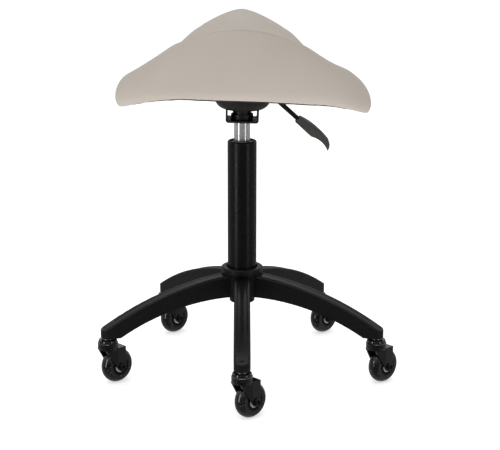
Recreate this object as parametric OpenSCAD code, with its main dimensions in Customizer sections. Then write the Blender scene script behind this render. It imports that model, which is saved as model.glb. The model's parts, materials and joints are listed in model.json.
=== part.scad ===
// Saddle stool: a padded saddle seat on a gas lift, over a five-arm star base on casters.
// Millimetres, +Z up. The origin is on the floor under the column's axis, the seat's raised
// front horn points to +Y and the height lever to +X. The lift stands near its lowest.

/* [Seat] */
// Width of the seat across its wings
seat_w = 418; // [360:1:470]
// From the column's axis back to the rear panel
seat_back = 187; // [165:1:210]
// From the column's axis forward to the front of the horn
seat_front = 205; // [180:1:235]
// Height of the rear crest above the hem
crest_h = 110; // [90:1:125]
// Height of the front horn above the hem
horn_h = 109; // [85:1:130]
// Height of the valley between them above the hem
valley_h = 66; // [50:1:75]
// Drop of the wings' hem below the middle
wing_drop = 23; // [12:0.5:30]
// Sideways lean of the seat on its socket, in degrees
seat_lean = 1.5; // [0:0.1:2.5]
// Angle by which the crest stands off the shell's own upright, in degrees
crest_skew = 2.4; // [0:0.1:4]
// Thickness of the moulded seat shell
shell_t = 9; // [7:0.5:12]
// Thickness of the upholstery skin
skin_t = 1.4; // [1:0.1:2.5]

/* [Gas lift] */
// Length of the outer tube
tube_l = 286; // [270:1:320]
// Outside diameter of the outer tube
tube_d = 50; // [48:0.5:54]
// Diameter of the pressure cylinder
cylinder_d = 28; // [27:0.5:30]
// Length of cylinder that shows above the tube at rest
cylinder_show = 34; // [30:1:60]
// Travel of the lift above its rest height
lift_up = 120; // [90:1:125]
// Travel of the lift below its rest height
lift_down = 12; // [5:1:15]
// Diameter of the piston rod
rod_d = 10; // [8:0.5:12]

/* [Seat mechanism] */
// Diameter of the mounting flange
flange_d = 156; // [140:1:170]
// Thickness of the pressed steel
press_t = 2.5; // [2:0.1:3]
// Depth of the pressed bowl
bowl_h = 44.5; // [42:0.5:50]
// Height of the stirrup under the bowl
stirrup_h = 20; // [18:0.5:26]
// Width of the stirrup
stirrup_w = 56; // [52:0.5:60]
// Length of the stirrup from front to back
stirrup_l = 56; // [48:1:60]

/* [Height lever] */
// Diameter of the lever's rod
lever_d = 8; // [6:0.5:9]
// Slope of the lever below the seat, in degrees
lever_slope = 42; // [36:1:46]
// Length of the sloping rod up to the grip
lever_l = 62; // [56:1:72]
// Length of the grip
grip_l = 75; // [66:1:84]
// Width of the grip
grip_w = 28; // [22:1:34]
// Thickness of the grip at its mouth
grip_t = 12.5; // [11.5:0.5:16]

/* [Star base] */
// Radius of the circle of caster stems
stem_circle_r = 242; // [220:1:265]
// Width of each arm
arm_w = 27.5; // [24:0.5:32]
// Height of the hub's top ring above the arms' ends
hub_h = 106.5; // [98:0.5:116]
// Outside diameter of the hub's top ring
hub_ring_d = 72.5; // [70:0.5:80]
// Thickness of each arm at its stem
arm_end_t = 20; // [20:0.5:23]
// Wall of the arms
arm_wall = 3.5; // [3:0.25:4.5]

/* [Casters] */
// Diameter of each wheel
wheel_d = 60; // [54:1:66]
// Width of each wheel
wheel_w = 23; // [20:0.5:25]
// Distance that each wheel trails behind its stem
caster_trail = 18; // [16:0.5:21]
// Direction in which the wheels trail, in degrees from +X
caster_heading = 43; // [0:1:359]
// Diameter of the swivel head
head_d = 35; // [34:0.5:38]
// Diameter of the stem
stem_d = 11; // [10:0.5:12]
// Thickness of the fork's steel
fork_t = 2.5; // [2:0.1:3]

/* [Hidden] */
$fn = 96;

// Clearances. One overrun serves every cut.
over = 2;
run_fit = 0.05;
seat_fit = 0.02;
soft_gap = 0.5;

// Casters: heights above the floor, then the sizes of their small pieces
arm_count = 5;
first_arm_angle = -90;
wheel_z = wheel_d / 2;
crown_gap = 3;
crown_z = wheel_d + crown_gap;
race_z = crown_z + fork_t;
race_h = 4.6;
race_gap = 0.5;
cup_h = 10.6;
collar_h = 2.8;
cup_z = race_z + race_h + race_gap;
collar_z = cup_z + cup_h;
arm_end_z = collar_z + collar_h;
head_r = head_d / 2;
ball_d = 5;
ball_circle_r = 12.2;
head_ball_count = 12;
ball_z = race_z + race_h + race_gap / 2;
kingpin_r = 4;
kingpin_head_r = 7;
kingpin_head_h = 2.2;
stem_l = 16.5;
stem_hole_gap = 0.6;
stem_tip_l = 2;
collar_r = 9;
ring_t = 0.8;
ring_w = 2;
ring_slit = 2.5;
// Side of the cup, as shares of the head's radius and the cup's height
cup_side_share = [[0.97, 0], [1, 0.14], [1, 0.38], [0.915, 0.47], [0.94, 0.61],
    [0.885, 0.9], [0.51, 1]];
race_edge = 1.6;
wheel_side_gap = 1.6;
fork_in = wheel_w / 2 + wheel_side_gap;
fork_out = fork_in + fork_t;
leg_foot_r = 8.8;
leg_front_x = -13;
leg_crease_x = 9.5;
leg_pinch = 3.2;
leg_rear_x = caster_trail + leg_foot_r;
leg_slope = leg_pinch / (leg_crease_x - leg_front_x);
axle_r = 4;
bolt_head_r = 6.4;
bolt_head_h = 3.6;
bolt_dome_h = 1.2;
hex_key_w = 5;
hex_key_depth = 2.4;
nut_w = 12.4;
nut_h = 5.5;
bearing_r = 11;
bearing_w = 7;
bearing_race_t = 1.7;
bearing_shield_in = 0.6;
core_r = 16.5;
core_lip = 0.4;
core_bore_r = 8;
core_flange_r = 20;
core_flange_t = 4;
tread_r = 13;

// Star base
hub_top_z = arm_end_z + hub_h;
hub_ring_h = 12;
hub_ring_edge_r = 3;
hub_flare_h = 10;
hub_d = 57;
hub_bottom_rise = 55;
hub_bottom_z = arm_end_z + hub_bottom_rise;
hub_wall_t = 2.2;
hub_mouth_r = tube_d / 2 + hub_wall_t;
hub_mouth_h = 8;
arm_top_r = 520;
arm_under_r = 380;
arm_start_r = 20;
arm_top_root_r = 34;
arm_top_root_drop = 13;
arm_under_root_r = 30;
arm_under_root_drop = 0.5;
arm_shoulder_r = 4.5;
arm_tip_l = 12;
arm_reach = stem_circle_r + arm_tip_l;
arm_under_short = 20;
arm_under_end_r = stem_circle_r - arm_under_short;
channel_w = 15;
channel_depth = 1.7;
channel_short = 12;
channel_end_r = stem_circle_r - channel_short;
arm_roof_t = 4.5;
stem_boss_r = 10.5;
rib_t = 2.5;
rib_pitch = 38;
pocket_start_r = 47;
pocket_cells = 5;

// Gas lift
tube_t = 2;
tube_foot_rise = 43;
tube_bottom_z = arm_end_z + tube_foot_rise;
tube_top_z = tube_bottom_z + tube_l;
tube_taper_top_z = hub_top_z - hub_mouth_h;
tube_taper_r = 22;
tube_edge_r = 2.2;
tube_lip = 6;
tube_rim_r = 3.3;
taper_slope = (tube_d / 2 - tube_taper_r) / (tube_taper_top_z - hub_bottom_z);
foot_t = 4;
foot_z = tube_bottom_z + tube_t;
washer_t = 1.5;
washer_r = 14;
bearing_ball_d = 3;
bearing_ball_circle_r = 10;
bearing_ball_count = 12;
race_groove = 0.4;
washer_z = foot_z + foot_t;
upper_washer_z = washer_z + washer_t + bearing_ball_d - 2 * race_groove + 2 * run_fit;
bump_z = upper_washer_z + washer_t;
bump_h = 10;
bump_r = 11;
bump_groove = 2;
bump_clear = 4;
stroke_gap = 2;
valve_h = 14;
circlip_t = 1.6;
circlip_r = 9;
circlip_z = foot_z - circlip_t - run_fit;
rod_foot_l = 2;
rod_bottom_z = circlip_z - rod_foot_l;
bushing_l = 78;
bushing_flange_drop = 2.4;
bushing_relief = 1.2;
bushing_land = 16;
bushing_top_z = tube_top_z - bushing_flange_drop;
bushing_rim = 3;
lean_z = tube_top_z + cylinder_show;
cylinder_bottom_z = bump_z + bump_h + lift_down + bump_clear;
cylinder_t = 1.8;
seal_h = 22;
seal_crimp = 2;
piston_h = 10;
rod_top_z = cylinder_bottom_z + seal_crimp + seal_h + piston_h + lift_up + stroke_gap;
socket_l = 37;
socket_t = 1.75;
socket_taper = 1;
// Collar of the socket, just clear of the leaning floor of the stirrup
socket_rim_w = 3.2;
socket_rim_h = 8.3;
socket_rim_gap = 0.7;
nose_stand = 2;
cone_top_z = lean_z + socket_l + nose_stand;
release_pin_r = 4;
release_tip_r = 1.5;
release_tip_h = 1;
release_stand = 5;
release_l = 22;
release_gap = 0.3;

// Seat mechanism
floor_z = lean_z + stirrup_h;
plate_z = floor_z + bowl_h;
stirrup_t = 3;
stirrup_corner_r = 5;
bowl_floor_r = 27;
bowl_bulge_r = 21.5;
bowl_wall_r = bowl_floor_r + bowl_bulge_r;
flange_bend_r = 4;
weld_rise = 6;
flange_hole_circle_r = 66;
flange_bolt_count = 4;
bolt_r = 3;
bolt_hole_r = 3.3;
bolt_head_w = 10;
bolt_head_t = 4;
spring_washer_t = 1.4;
spring_washer_r = 6;
tee_flange_r = 9;
tee_flange_t = 1.2;
tee_barrel_r = 3.9;
tee_barrel_l = 7.5;
pivot_x = 30;
pivot_r = 2;
pivot_head_r = 3.2;
pivot_head_t = 1;
ear_t = 2;
ear_w = 12;
ear_gap = 0.5;
lever_slot_play = 3;
lever_slot_w = lever_d + lever_slot_play;
lever_slot_h = 26;
lever_slot_x = 40;
lever_press_x = -8;
lever_bend_r = 14;
lever_bend_x = 39.3;
// The bend laps into both straight lengths by this angle
bend_lap = 1;
lever_z = cone_top_z + release_stand + release_gap + lever_d / 2;
grip_overlap = 30;
grip_top_r = 138;
grip_tip_r = 20.4;
grip_tip_drop = 3.8;
grip_hollow_r = 40;
grip_hollow_x = 55;
grip_hollow_h = 4.8;
grip_end_r = 9;
grip_edge_r = 4;
grip_crown = 4.2;
grip_mouth_w_share = 0.72;
grip_rib_count = 9;
grip_rib_pitch = 4;
grip_rib_r = 1;
grip_rib_depth = 0.5;
grip_rib_x = 22;

// Seat: shell, foam and upholstery
shell_inset = 11;
shell_flat = 80;
shell_w = seat_w / 2 - shell_inset;
shell_run = shell_w - shell_flat;
shell_r = (pow(shell_run, 2) + pow(wing_drop, 2)) / (2 * wing_drop);
wide_y = -95;
back_l = seat_back + wide_y;
front_l = seat_front - wide_y;
// Sharpness of the rear corners and of the nose, as exponents
back_power = 2.3;
nose_power = 6;
// Narrowing of the seat from the wings to the horn, as a share of its width
horn_narrow_share = 0.45;
horn_narrow_y = 150;
crest_inset = 26;
hem_tuck = 16;
hem_angle = -60;
belly_h = 17;
flap_w = 20;
side_base_h = -8;
crest_spread = 137;
crest_power = 2.2;
horn_spread = 100;
horn_power = 1.6;
valley_y = -8;
crest_y = -seat_back + crest_inset;
horn_y = 142;
centre_y = 10;
foam_inset = skin_t + soft_gap;
foam_gap = 2.1;
foam_row = 2;
foam_steps = 4;
cloth_t = 0.6;
cloth_inset = 26;
cloth_gap = 1.5;
cloth_lay = 0.9;
around = 48;
panel_from = 26;
panel_to = 46;
panel_trim_angle = 0.4;
seam_angle = 86;
side_steps = 6;
top_steps = 6;

// General helpers
module ring(r_out, r_in, h) {
    difference() {
        cylinder(r = r_out, h = h);
        translate([0, 0, -over]) cylinder(r = r_in, h = h + 2 * over);
    }
}

module at_z(z) {
    translate([0, 0, z]) children();
}

module both_ends() {
    children();
    mirror([0, 0, 1]) children();
}

// The axle's direction is the caster's local Y
module across(h, z = 0) {
    rotate([90, 0, 0]) translate([0, 0, z - h / 2]) linear_extrude(h) children();
}

function arm_angle(i) = first_arm_angle + 360 / arm_count * (i - 1);

module on_arm(i) {
    rotate([0, 0, arm_angle(i)]) children();
}

module at_caster(i) {
    on_arm(i) translate([stem_circle_r, 0, 0])
        rotate([0, 0, caster_heading - arm_angle(i)]) children();
}

module at_wheel(i) {
    at_caster(i) translate([caster_trail, 0, wheel_z]) rotate([90, 0, 0]) children();
}

module leaned() {
    translate([0, 0, lean_z]) rotate([0, seat_lean, 0]) translate([0, 0, -lean_z]) children();
}

// Centre of the circle of radius r through a and b, below the line from a to b
function arc_centre(a, b, r) =
    let (d = b - a, l = norm(d), h = sqrt(r * r - l * l / 4))
    (a + b) / 2 + h * [d[1], -d[0]] / l;

// Point where a tangent from p touches the circle of radius r round c
function touch(p, c, r, side) =
    let (v = p - c, a = atan2(v[1], v[0]) + side * acos(r / norm(v)))
    c + r * [cos(a), sin(a)];

// Star base: side view of an arm as radius and height
arm_top_a = [arm_top_root_r, hub_top_z - arm_top_root_drop];
arm_top_b = [stem_circle_r, arm_end_z + arm_end_t];
arm_top_c = arc_centre(arm_top_a, arm_top_b, arm_top_r);
arm_under_a = [arm_under_root_r, hub_bottom_z - arm_under_root_drop];
arm_under_b = [arm_under_end_r, arm_end_z];
arm_under_c = arc_centre(arm_under_a, arm_under_b, arm_under_r);

module arm_side() {
    difference() {
        intersection() {
            translate(arm_top_c) circle(r = arm_top_r, $fn = 200);
            translate([arm_start_r, arm_end_z]) square([arm_reach - arm_start_r, hub_h]);
        }
        translate(arm_under_c) circle(r = arm_under_r, $fn = 200);
    }
}

// Section of an arm across its length, revolved about the centre of its top arc
module arm_section() {
    side = arm_w / 2;
    translate([arm_top_r - hub_h, -side]) square([hub_h - arm_shoulder_r, arm_w]);
    translate([arm_top_r - hub_h, arm_shoulder_r - side])
        square([hub_h, arm_w - 2 * arm_shoulder_r]);
    for (s = [-1, 1])
        translate([arm_top_r - arm_shoulder_r, s * (side - arm_shoulder_r)])
            circle(r = arm_shoulder_r, $fn = 32);
}

channel_r = (pow(channel_w / 2, 2) + pow(channel_depth, 2)) / (2 * channel_depth);
channel_path_r = arm_top_r + channel_r - channel_depth;
channel_end_angle = acos((channel_end_r - arm_top_c[0]) / channel_path_r);

module arm_channel() {
    translate([arm_top_c[0], 0, arm_top_c[1]]) {
        intersection() {
            rotate([90, 0, 0]) rotate_extrude($fn = 200)
                translate([channel_path_r, 0]) circle(r = channel_r);
            translate([0, -arm_w, 0])
                cube([channel_end_r - arm_top_c[0], 2 * arm_w, arm_top_r + channel_w]);
        }
        translate([channel_path_r * cos(channel_end_angle), 0,
            channel_path_r * sin(channel_end_angle)]) sphere(r = channel_r);
    }
}

module arm_plan() {
    translate([0, -arm_w / 2]) square([arm_reach - arm_w / 2, arm_w]);
    translate([arm_reach - arm_w / 2, 0]) circle(d = arm_w);
}

// Hollow of one cell under the arm, from radius r0 to r1
module arm_cell_side(r0, r1) {
    intersection() {
        translate(arm_top_c) circle(r = arm_top_r - arm_roof_t, $fn = 200);
        translate([r0, arm_end_z - over]) square([r1 - r0, hub_h]);
    }
}

module arm_pockets() {
    half_w = (arm_w - 2 * arm_wall - rib_t) / 2;
    for (k = [0:pocket_cells - 1], s = [-1, 1])
        across(half_w, s * (half_w + rib_t) / 2)
            arm_cell_side(pocket_start_r + k * rib_pitch,
                pocket_start_r + (k + 1) * rib_pitch - rib_t);
}

module arm() {
    difference() {
        intersection() {
            across(arm_w) arm_side();
            translate([arm_top_c[0], 0, arm_top_c[1]]) rotate([90, 0, 0])
                rotate_extrude($fn = 200) arm_section();
            linear_extrude(hub_top_z) arm_plan();
        }
        arm_channel();
        difference() {
            arm_pockets();
            translate([stem_circle_r, 0, arm_end_z - 2 * over])
                cylinder(r = stem_boss_r, h = hub_h);
        }
        translate([stem_circle_r, 0, arm_end_z - over])
            cylinder(d = stem_d + 2 * run_fit, h = stem_l + stem_hole_gap + over);
    }
}

module hub() {
    ring_r = hub_ring_d / 2;
    flare_z = hub_top_z - hub_ring_h;
    rotate_extrude() difference() {
        union() {
            translate([0, hub_bottom_z]) square([hub_d / 2, flare_z - hub_bottom_z]);
            translate([0, flare_z]) square([ring_r - hub_ring_edge_r, hub_ring_h]);
            translate([0, flare_z + hub_ring_edge_r])
                square([ring_r, hub_ring_h - 2 * hub_ring_edge_r]);
            for (z = [flare_z, hub_top_z - 2 * hub_ring_edge_r])
                translate([ring_r - hub_ring_edge_r, z + hub_ring_edge_r])
                    circle(r = hub_ring_edge_r, $fn = 32);
            polygon([[0, flare_z + hub_ring_edge_r], [0, flare_z - hub_flare_h],
                [hub_d / 2, flare_z - hub_flare_h], [ring_r - hub_ring_edge_r, flare_z],
                [ring_r - hub_ring_edge_r, flare_z + hub_ring_edge_r]]);
        }
        polygon([[0, hub_bottom_z - over],
            [tube_taper_r + run_fit - over * taper_slope, hub_bottom_z - over],
            [tube_d / 2 + run_fit, tube_taper_top_z], [0, tube_taper_top_z]]);
        translate([0, tube_taper_top_z - over]) square([tube_d / 2 + run_fit, hub_h]);
        translate([0, tube_taper_top_z]) square([hub_mouth_r, hub_h]);
    }
}

module star_base() {
    color([0.06, 0.06, 0.065]) {
        hub();
        difference() {
            for (i = [1:arm_count]) on_arm(i) arm();
            at_z(hub_bottom_z - 2 * over) cylinder(r = hub_d / 2 - over, h = hub_h);
        }
    }
}

// Outer tube: parallel above the hub, tapered inside it, with rounded ends
module gas_tube() {
    r = tube_d / 2;
    foot_side_h = hub_bottom_z - tube_bottom_z - tube_edge_r;
    color([0.05, 0.05, 0.052]) rotate_extrude() difference() {
        union() {
            polygon([[0, hub_bottom_z], [tube_taper_r, hub_bottom_z], [r, tube_taper_top_z],
                [r, tube_top_z - tube_rim_r], [0, tube_top_z - tube_rim_r]]);
            translate([0, tube_top_z - tube_rim_r]) square([r - tube_rim_r, tube_rim_r]);
            translate([r - tube_rim_r, tube_top_z - tube_rim_r]) circle(r = tube_rim_r, $fn = 32);
            translate([0, tube_bottom_z]) square([tube_taper_r - tube_edge_r, tube_edge_r]);
            translate([0, tube_bottom_z + tube_edge_r]) square([tube_taper_r, foot_side_h]);
            translate([tube_taper_r - tube_edge_r, tube_bottom_z + tube_edge_r])
                circle(r = tube_edge_r, $fn = 32);
        }
        polygon([[0, foot_z], [tube_taper_r - tube_t, foot_z],
            [tube_taper_r - tube_t, hub_bottom_z], [r - tube_t, tube_taper_top_z],
            [r - tube_t, tube_top_z + over], [0, tube_top_z + over]]);
        translate([0, tube_bottom_z - over]) square([tube_taper_r - tube_lip, foot_z]);
    }
}

module guide_bushing() {
    out_r = tube_d / 2 - tube_t - seat_fit;
    in_r = cylinder_d / 2 + run_fit;
    bottom_z = bushing_top_z - bushing_l;
    color([0.45, 0.46, 0.47]) rotate_extrude() difference() {
        translate([0, bottom_z]) square([out_r, bushing_l]);
        translate([0, bottom_z - over]) square([in_r, bushing_l + 2 * over]);
        translate([0, bottom_z + bushing_land])
            square([in_r + bushing_relief, bushing_l - 2 * bushing_land]);
        translate([in_r + bushing_rim, bushing_top_z - bushing_relief])
            square([out_r - in_r - 2 * bushing_rim, over]);
    }
}

module tube_foot() {
    color([0.55, 0.56, 0.58]) at_z(foot_z)
        ring(tube_taper_r - tube_t - seat_fit, rod_d / 2 + run_fit, foot_t);
}

module race_washer(r_in) {
    difference() {
        ring(washer_r, r_in, washer_t);
        at_z(washer_t - race_groove + bearing_ball_d / 2) rotate_extrude()
            translate([bearing_ball_circle_r, 0]) circle(d = bearing_ball_d + 2 * run_fit, $fn = 32);
    }
}

module bearing_washers() {
    bore = rod_d / 2 + run_fit;
    color([0.7, 0.71, 0.73]) {
        at_z(washer_z) race_washer(bore);
        at_z(upper_washer_z + washer_t) mirror([0, 0, 1]) race_washer(bore);
    }
}

module ball_circle(count, circle_r, d) {
    for (k = [0:count - 1]) rotate([0, 0, k * 360 / count]) translate([circle_r, 0, 0])
        sphere(d = d, $fn = 32);
}

module bearing_balls() {
    color([0.8, 0.8, 0.82])
        at_z(washer_z + washer_t - race_groove + bearing_ball_d / 2 + run_fit)
            ball_circle(bearing_ball_count, bearing_ball_circle_r, bearing_ball_d);
}

module piston_rod() {
    groove_r = rod_d / 2 - circlip_t / 2;
    color([0.75, 0.76, 0.78]) difference() {
        union() {
            at_z(rod_bottom_z) cylinder(d = rod_d, h = rod_top_z - rod_bottom_z);
            at_z(rod_top_z - piston_h)
                cylinder(r = cylinder_d / 2 - cylinder_t - run_fit, h = piston_h);
        }
        at_z(circlip_z) ring(rod_d, groove_r, circlip_t);
    }
}

module rod_circlip() {
    slit = rod_d / 2;
    color([0.3, 0.3, 0.32]) at_z(circlip_z + run_fit) difference() {
        ring(circlip_r, rod_d / 2 - circlip_t / 2 + seat_fit, circlip_t - 2 * run_fit);
        translate([0, -slit / 2, -over]) cube([circlip_r + over, slit, circlip_t + 2 * over]);
    }
}

module bump_stop() {
    color([0.1, 0.1, 0.1]) at_z(bump_z) difference() {
        ring(bump_r, rod_d / 2 + run_fit, bump_h);
        at_z(bump_h / 2) rotate_extrude() translate([bump_r + bump_groove / 2, 0])
            circle(r = bump_groove, $fn = 32);
    }
}

// Caster head: fixed stem and cup, turning fork, balls between them
module caster_stems() {
    rivet_z = crown_z - kingpin_head_h;
    color([0.7, 0.71, 0.72]) for (i = [1:arm_count]) at_caster(i) {
        difference() {
            union() {
                at_z(rivet_z) cylinder(r = kingpin_head_r, h = kingpin_head_h - run_fit);
                at_z(rivet_z) cylinder(r = kingpin_r, h = arm_end_z - rivet_z);
                at_z(collar_z) cylinder(r = collar_r, h = collar_h);
                at_z(arm_end_z) cylinder(d = stem_d, h = stem_l - stem_tip_l);
                at_z(arm_end_z + stem_l - stem_tip_l)
                    cylinder(d1 = stem_d, d2 = stem_d - 2 * stem_tip_l, h = stem_tip_l);
            }
            at_z(arm_end_z + stem_l / 2) ring(stem_d, stem_d / 2 - ring_t, ring_w);
        }
    }
}

module stem_rings() {
    color([0.5, 0.5, 0.52]) for (i = [1:arm_count]) at_caster(i)
        at_z(arm_end_z + stem_l / 2 + run_fit) difference() {
            ring(stem_d / 2, stem_d / 2 - ring_t + seat_fit, ring_w - 2 * run_fit);
            translate([0, -ring_slit / 2, -over])
                cube([stem_d, ring_slit, ring_w + 2 * over]);
        }
}

module head_cups() {
    side = [for (p = cup_side_share) [p[0] * head_r, cup_z + p[1] * cup_h]];
    color([0.04, 0.04, 0.042]) for (i = [1:arm_count]) at_caster(i) rotate_extrude()
        difference() {
            polygon(concat([[kingpin_r + seat_fit, cup_z]], side,
                [[kingpin_r + seat_fit, collar_z]]));
            translate([ball_circle_r, ball_z]) circle(d = ball_d + 2 * run_fit, $fn = 48);
        }
}

module head_balls() {
    color([0.8, 0.8, 0.82]) for (i = [1:arm_count]) at_caster(i) at_z(ball_z)
        ball_circle(head_ball_count, ball_circle_r, ball_d);
}

// Outline of the fork seen from above, y wide to each side at its rear
module fork_plan(y, front, rear) {
    pinch = leg_slope * (leg_crease_x - front);
    polygon([[front, y - pinch], [leg_crease_x, y], [rear, y],
        [rear, -y], [leg_crease_x, -y], [front, pinch - y]]);
}

// Side of the fork: legs narrow from the crown to a round foot about the axle
module fork_side() {
    foot = [caster_trail, wheel_z];
    corner = [leg_front_x, crown_z];
    polygon([corner, [leg_front_x, race_z], [leg_rear_x, race_z], [leg_rear_x, wheel_z],
        foot, touch(corner, foot, leg_foot_r, 1)]);
    translate(foot) circle(r = leg_foot_r);
}

module fork_race() {
    race_in = 2 * ball_circle_r - head_r;
    rotate_extrude() difference() {
        polygon([[race_in, race_z], [head_r - race_edge, race_z],
            [head_r, race_z + race_edge], [head_r, race_z + race_h],
            [race_in, race_z + race_h]]);
        translate([ball_circle_r, ball_z]) circle(d = ball_d + 2 * run_fit, $fn = 48);
    }
}

module caster_fork(i) {
    color([0.05, 0.05, 0.052]) at_caster(i) difference() {
        union() {
            difference() {
                intersection() {
                    linear_extrude(race_z) fork_plan(fork_out, leg_front_x, leg_rear_x);
                    across(2 * fork_out) fork_side();
                }
                at_z(-over) linear_extrude(crown_z + over)
                    fork_plan(fork_in, leg_front_x - over, leg_rear_x + over);
            }
            at_z(crown_z) cylinder(r = head_r - fork_t / 2, h = fork_t);
            fork_race();
        }
        at_z(crown_z - over) cylinder(r = kingpin_r + run_fit, h = fork_t + 2 * over);
        translate([caster_trail, 0, wheel_z]) across(2 * (fork_out + over))
            circle(r = axle_r + run_fit);
    }
}

module axle_bolt(i) {
    head_side_h = bolt_head_h - bolt_dome_h;
    color([0.25, 0.25, 0.26]) at_wheel(i) {
        difference() {
            union() {
                at_z(-fork_out - nut_h) cylinder(r = axle_r, h = 2 * fork_out + nut_h);
                at_z(fork_out) cylinder(r = bolt_head_r, h = head_side_h);
                at_z(fork_out + head_side_h)
                    cylinder(r1 = bolt_head_r, r2 = bolt_head_r - bolt_dome_h, h = bolt_dome_h);
            }
            at_z(fork_out + bolt_head_h - hex_key_depth)
                cylinder(d = hex_key_w, h = hex_key_depth + over, $fn = 6);
        }
        at_z(-fork_out - nut_h) difference() {
            cylinder(d = nut_w, h = nut_h, $fn = 6);
            at_z(-over) cylinder(r = axle_r + seat_fit, h = nut_h + 2 * over);
        }
    }
}

// Both inner races and the spacer between them, clamped between the legs
module axle_sleeve(i) {
    half = fork_in - run_fit;
    color([0.7, 0.7, 0.72]) at_wheel(i) at_z(-half)
        ring(axle_r + bearing_race_t, axle_r + run_fit, 2 * half);
}

module wheel_core(i) {
    half = wheel_w / 2;
    color([0.07, 0.07, 0.07]) at_wheel(i) rotate_extrude() difference() {
        union() {
            translate([core_bore_r, -half]) square([core_r - core_bore_r, wheel_w]);
            translate([core_bore_r, -core_flange_t / 2])
                square([core_flange_r - core_bore_r, core_flange_t]);
        }
        for (z = [-half - over, half - core_lip - bearing_w])
            translate([0, z]) square([bearing_r + seat_fit, bearing_w + core_lip + over]);
    }
}

// Outer races with their shields, turning round the inner races
module wheel_bearings(i) {
    inner_r = axle_r + bearing_race_t + run_fit;
    color([0.72, 0.73, 0.75]) at_wheel(i) both_ends()
        at_z(wheel_w / 2 - core_lip - bearing_w) rotate_extrude() difference() {
            translate([inner_r, 0]) square([bearing_r - inner_r, bearing_w]);
            for (z = [-over, bearing_w - bearing_shield_in])
                translate([inner_r, z]) square([bearing_r - bearing_race_t - inner_r,
                    bearing_shield_in + over]);
        }
}

module wheel_tyre(i) {
    half = wheel_w / 2;
    color([0.12, 0.12, 0.125, 0.8]) at_wheel(i) rotate_extrude() difference() {
        intersection() {
            translate([core_r + seat_fit, -half])
                square([wheel_z - core_r - seat_fit, wheel_w]);
            union() {
                translate([wheel_z - tread_r, 0]) circle(r = tread_r);
                translate([0, -half]) square([wheel_z - tread_r, wheel_w]);
            }
        }
        translate([0, -core_flange_t / 2 - seat_fit])
            square([core_flange_r + seat_fit, core_flange_t + 2 * seat_fit]);
    }
}

// Pressure cylinder: open bore for the piston, tapered nose held in the socket
module gas_cylinder() {
    r = cylinder_d / 2;
    nose_r = r - socket_taper;
    bore_l = cone_top_z - release_l - valve_h - cylinder_bottom_z - seal_crimp;
    color([0.85, 0.86, 0.87]) rotate_extrude() difference() {
        polygon([[0, cylinder_bottom_z], [r - cylinder_t / 2, cylinder_bottom_z],
            [r, cylinder_bottom_z + cylinder_t], [r, lean_z], [nose_r, cone_top_z],
            [0, cone_top_z]]);
        translate([0, cylinder_bottom_z + seal_crimp])
            square([r - cylinder_t, bore_l]);
        translate([0, cylinder_bottom_z - over]) square([rod_d, seal_crimp + 2 * over]);
        translate([0, cone_top_z - release_l]) square([release_pin_r + run_fit, release_l + over]);
    }
}

module cylinder_seal() {
    color([0.2, 0.2, 0.21]) at_z(cylinder_bottom_z + seal_crimp)
        ring(cylinder_d / 2 - cylinder_t - seat_fit, rod_d / 2 + run_fit, seal_h);
}

module release_pin() {
    bottom_z = cone_top_z - release_l + 2 * release_stand;
    side_l = cone_top_z + release_stand - release_tip_h - bottom_z;
    color([0.75, 0.76, 0.78]) at_z(bottom_z) {
        cylinder(r = release_pin_r, h = side_l);
        at_z(side_l) cylinder(r1 = release_pin_r, r2 = release_tip_r, h = release_tip_h);
    }
}

module cone_socket() {
    r = cylinder_d / 2;
    l = socket_l;
    rim_z = lean_z + stirrup_t + socket_rim_gap;
    rim_r = r + socket_t + socket_rim_w;
    color([0.07, 0.065, 0.06]) rotate_extrude()
        polygon([[r + seat_fit, lean_z], [r + socket_t, lean_z], [r + socket_t, rim_z],
            [rim_r, rim_z], [rim_r, rim_z + socket_rim_h], [r + socket_t, rim_z + socket_rim_h],
            [r + socket_t, lean_z + l],
            [r + seat_fit - socket_taper * l / (cone_top_z - lean_z), lean_z + l]]);
}

// Stirrup: a U of steel welded under the bowl, open to the front and the back
module stirrup_section(inset, rise) {
    side = stirrup_w / 2 - inset;
    corner = stirrup_w / 2 - stirrup_corner_r;
    translate([-side, stirrup_corner_r]) square([2 * side, rise - stirrup_corner_r]);
    translate([-corner, inset]) square([2 * corner, stirrup_h - inset]);
    for (s = [-1, 1]) translate([s * corner, stirrup_corner_r])
        circle(r = stirrup_corner_r - inset, $fn = 32);
}

module socket_stirrup() {
    color([0.09, 0.08, 0.075]) difference() {
        leaned() difference() {
            at_z(lean_z) difference() {
                across(stirrup_l) stirrup_section(0, stirrup_h + weld_rise);
                across(stirrup_l + 2 * over)
                    stirrup_section(stirrup_t, stirrup_h + weld_rise + over);
            }
            rotate_extrude() bowl_shape(-seat_fit);
        }
        at_z(lean_z - over) cylinder(r = cylinder_d / 2 + socket_t + seat_fit, h = stirrup_h);
    }
}

// Everything inside the bowl's pressed surface, t in from its outside
module bowl_shape(t) {
    wall_z = floor_z + bowl_bulge_r;
    bend_r = bowl_wall_r + flange_bend_r;
    bend_z = plate_z - press_t - flange_bend_r;
    translate([0, floor_z + t]) square([bowl_floor_r, bowl_bulge_r]);
    translate([bowl_floor_r, wall_z]) circle(r = bowl_bulge_r - t);
    translate([0, wall_z]) square([bowl_wall_r - t, bend_z - wall_z]);
    difference() {
        translate([0, bend_z]) square([bend_r, flange_bend_r + t]);
        translate([bend_r, bend_z]) circle(r = flange_bend_r + t, $fn = 48);
    }
}

module pressed_bowl() {
    difference() {
        rotate_extrude() difference() {
            union() {
                bowl_shape(0);
                translate([0, plate_z - press_t]) square([flange_d / 2, press_t]);
            }
            bowl_shape(press_t);
        }
        at_flange_bolts() at_z(-press_t - over) cylinder(r = bolt_hole_r, h = press_t + 2 * over);
    }
}

module at_flange_bolts() {
    for (k = [0:flange_bolt_count - 1]) rotate([0, 0, (k + 0.5) * 360 / flange_bolt_count])
        translate([flange_hole_circle_r, 0, plate_z]) children();
}

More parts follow.
